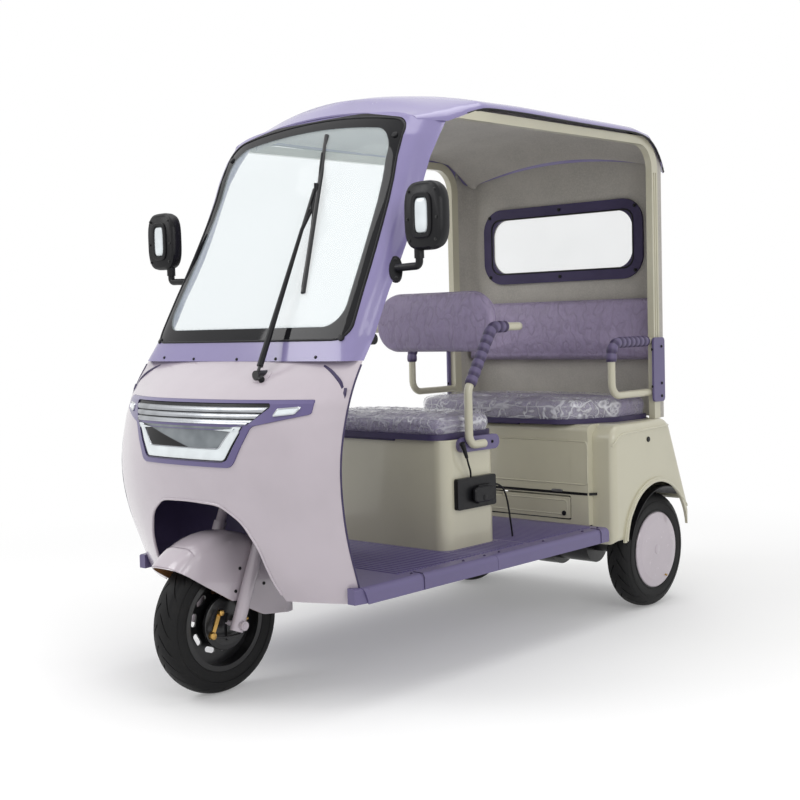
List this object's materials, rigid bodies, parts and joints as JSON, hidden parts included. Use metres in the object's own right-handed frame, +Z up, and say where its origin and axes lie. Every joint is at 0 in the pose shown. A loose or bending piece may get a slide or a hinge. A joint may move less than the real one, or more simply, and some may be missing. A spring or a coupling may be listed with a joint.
{
  "type": "auto rickshaw",
  "caption": "Open-sided three-wheeled passenger vehicle with a moulded nose, windscreen, roof, driver's seat, rear bench, handlebar steering, opening seat lids and free-rolling wheels.",
  "frame": {"origin": "centre of the footprint's box on the ground, under the tyres", "axes": "+Z up, +Y towards the rear of the vehicle, which drives towards -Y, and +X to the driver's left"},
  "size_m": [1.262, 2.08, 1.7459],
  "materials": {
    "lilac_paint": "gloss moulded shell",
    "lavender_paint": "gloss paint",
    "purple_paint": "gloss moulded shell",
    "dark_purple": "satin",
    "cream_paint": "gloss paint",
    "mauve_leather": "soft leatherette",
    "cushion_cover": "leatherette under clear film",
    "lining": "matt",
    "black_plastic": "satin",
    "black_paint": "satin",
    "clear": "clear",
    "tyre": "worn matt",
    "steel": "satin",
    "lead": "matt"
  },
  "bodies": {
    "cabin": {"front_fairing": "lilac_paint", "lamp_housing": "dark_purple", "lamp_lens": "clear", "lamp_grille": "black_plastic", "windscreen_surround": "lavender_paint", "windscreen": "clear", "roof": "lavender_paint", "roof_lining": "lining", "side_frames": "cream_paint", "rear_wall": "lining", "rear_window_frame": "dark_purple", "rear_window_pane": "clear", "floor_panels": "purple_paint", "wheel_well": "dark_purple", "column_shroud": "dark_purple", "dash_panel": "dark_purple", "chassis_frame": "black_paint", "seat_box": "cream_paint", "front_backrest": "mauve_leather", "backrest_arms": "cream_paint", "seat_brackets": "purple_paint", "rear_body": "cream_paint", "arch_liners": "black_plastic", "rear_backrest": "mauve_leather", "armrests": "cream_paint", "armrest_plates": "purple_paint", "rear_axle": "black_paint", "leaf_springs": "steel", "mirrors": "black_plastic", "wiper": "black_paint", "charging_panel": "black_plastic", "charger_lead": "lead", "panel_lead": "lead", "charger_plug": "black_plastic"},
    "steering": {"front_fork": "lilac_paint", "handlebar": "black_paint", "front_mudguard": "lilac_paint", "front_brake": "black_paint"},
    "front_wheel": {"front_tyre": "tyre", "front_rim": "black_paint"},
    "rear_wheel_left": {"rear_tyre_left": "tyre", "rear_rim_left": "black_paint", "wheel_cap_left": "lilac_paint"},
    "rear_wheel_right": {"rear_tyre_right": "tyre", "rear_rim_right": "black_paint", "wheel_cap_right": "lilac_paint"},
    "front_seat_lid": {"front_seat_tray": "dark_purple", "front_cushion": "cushion_cover"},
    "rear_seat_lid": {"rear_seat_tray": "dark_purple", "rear_cushion": "cushion_cover"},
    "storage_flap": {"storage_flap": "cream_paint"}
  },
  "joints": [
    {"name": "steering_turn", "type": "hinge", "parent": "cabin", "child": "steering", "pos_m": [0, -0.835, 0.205], "axis": [0, 0.3746, 0.9272], "range_deg": [-35, 35]},
    {"name": "front_wheel_spin", "type": "hinge", "parent": "steering", "child": "front_wheel", "pos_m": [0, -0.835, 0.205], "axis": [1, 0, 0], "continuous": true},
    {"name": "rear_wheel_left_spin", "type": "hinge", "parent": "cabin", "child": "rear_wheel_left", "pos_m": [0.398, 0.825, 0.205], "axis": [1, 0, 0], "continuous": true},
    {"name": "rear_wheel_right_spin", "type": "hinge", "parent": "cabin", "child": "rear_wheel_right", "pos_m": [-0.398, 0.825, 0.205], "axis": [1, 0, 0], "continuous": true},
    {"name": "front_seat_hinge", "type": "hinge", "parent": "cabin", "child": "front_seat_lid", "pos_m": [0, -0.195, 0.6713], "axis": [1, 0, 0], "range_deg": [0, 70]},
    {"name": "rear_seat_hinge", "type": "hinge", "parent": "cabin", "child": "rear_seat_lid", "pos_m": [0, 0.457, 0.6743], "axis": [1, 0, 0], "range_deg": [0, 60]},
    {"name": "storage_flap_hinge", "type": "hinge", "parent": "cabin", "child": "storage_flap", "pos_m": [0, 0.4657, 0.3566], "axis": [1, 0, 0], "range_deg": [0, 80]}
  ]
}
